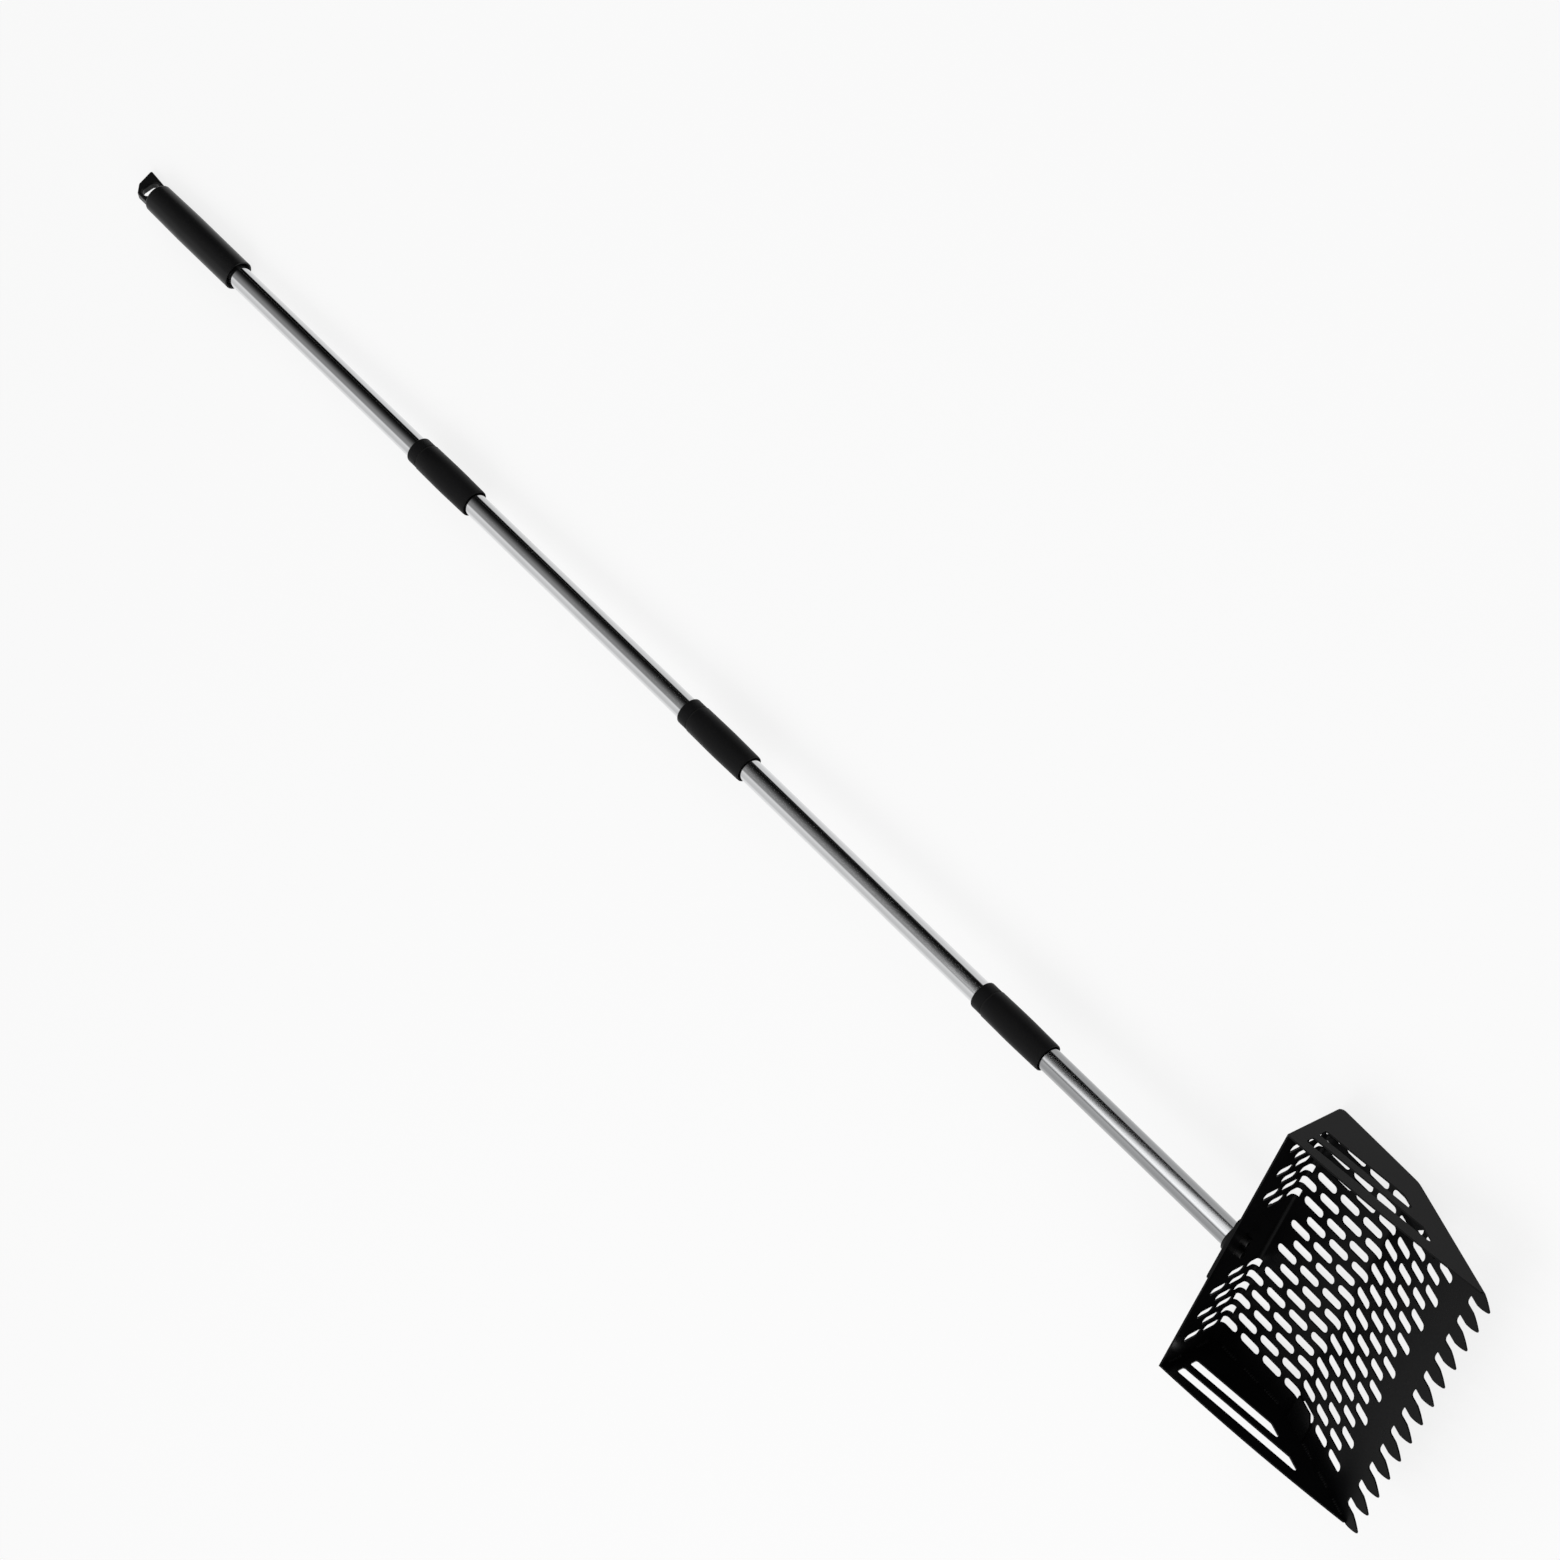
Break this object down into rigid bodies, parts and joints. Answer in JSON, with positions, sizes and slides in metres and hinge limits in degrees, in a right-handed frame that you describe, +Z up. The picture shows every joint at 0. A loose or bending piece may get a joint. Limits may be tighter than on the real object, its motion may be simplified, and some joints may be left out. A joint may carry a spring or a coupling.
{
  "type": "sifting scoop",
  "caption": "Slotted, toothed sheet-steel sifting scoop with side cheeks on a long pole of screw-together steel tubes with a black hanging grip.",
  "frame": {"origin": "on the ground, under the middle of the bounding box, with the tool lying on its back fold and its grip as it does when laid down", "axes": "+Z up, +Y from the grip to the teeth, X across the tray; X = 0 is the plane of symmetry of the tray and the pole"},
  "size_m": [0.244, 1.6664, 0.0746],
  "materials": {
    "tray_paint": "gloss black paint",
    "mirror_tube": "mirror-polished stainless steel",
    "satin_tube": "satin stainless steel",
    "coupling_plastic": "black moulded plastic",
    "grip_plastic": "black moulded plastic, satin",
    "seal_rubber": "black rubber",
    "plug_steel": "black paint on turned steel",
    "screw_steel": "blackened steel"
  },
  "bodies": {
    "scoop": {"tray_sheet": "tray_paint", "left_cheek": "tray_paint", "right_cheek": "tray_paint", "left_corner_tab": "tray_paint", "right_corner_tab": "tray_paint", "left_seam_welds": "tray_paint", "right_seam_welds": "tray_paint", "doubler_plate": "tray_paint", "foot_plug": "plug_steel", "foot_screws": "screw_steel", "foot_washers": "screw_steel", "foot_tube": "satin_tube", "lower_sleeve": "coupling_plastic"},
    "lower_seal": {"lower_seal_ring": "seal_rubber"},
    "lower_section": {"lower_plug": "coupling_plastic", "lower_tube": "mirror_tube", "middle_sleeve": "coupling_plastic"},
    "middle_seal": {"middle_seal_ring": "seal_rubber"},
    "middle_section": {"middle_plug": "coupling_plastic", "middle_tube": "mirror_tube", "upper_sleeve": "coupling_plastic"},
    "upper_seal": {"upper_seal_ring": "seal_rubber"},
    "upper_section": {"upper_plug": "coupling_plastic", "upper_tube": "mirror_tube", "grip": "grip_plastic"}
  },
  "joints": [
    {"name": "lower_travel", "type": "slide", "parent": "scoop", "child": "lower_seal", "axis": [0, -0.9997, -0.026], "range_m": [0, 0.022]},
    {"name": "lower_screw", "type": "hinge", "parent": "lower_seal", "child": "lower_section", "pos_m": [0, 0.33814, 0.04345], "axis": [0, -0.9997, -0.026], "range_deg": [0, 1960]},
    {"name": "middle_travel", "type": "slide", "parent": "lower_section", "child": "middle_seal", "axis": [0, -0.9997, -0.026], "range_m": [0, 0.022]},
    {"name": "middle_screw", "type": "hinge", "parent": "middle_seal", "child": "middle_section", "pos_m": [0, -0.03373, 0.03378], "axis": [0, -0.9997, -0.026], "range_deg": [0, 1960]},
    {"name": "upper_travel", "type": "slide", "parent": "middle_section", "child": "upper_seal", "axis": [0, -0.9997, -0.026], "range_m": [0, 0.022]},
    {"name": "upper_screw", "type": "hinge", "parent": "upper_seal", "child": "upper_section", "pos_m": [0, -0.4056, 0.02412], "axis": [0, -0.9997, -0.026], "range_deg": [0, 1960]}
  ],
  "couplings": [
    {"joint": "lower_travel", "follows": "lower_screw", "m_per_rad": 0.00063662},
    {"joint": "middle_travel", "follows": "middle_screw", "m_per_rad": 0.00063662},
    {"joint": "upper_travel", "follows": "upper_screw", "m_per_rad": 0.00063662}
  ]
}
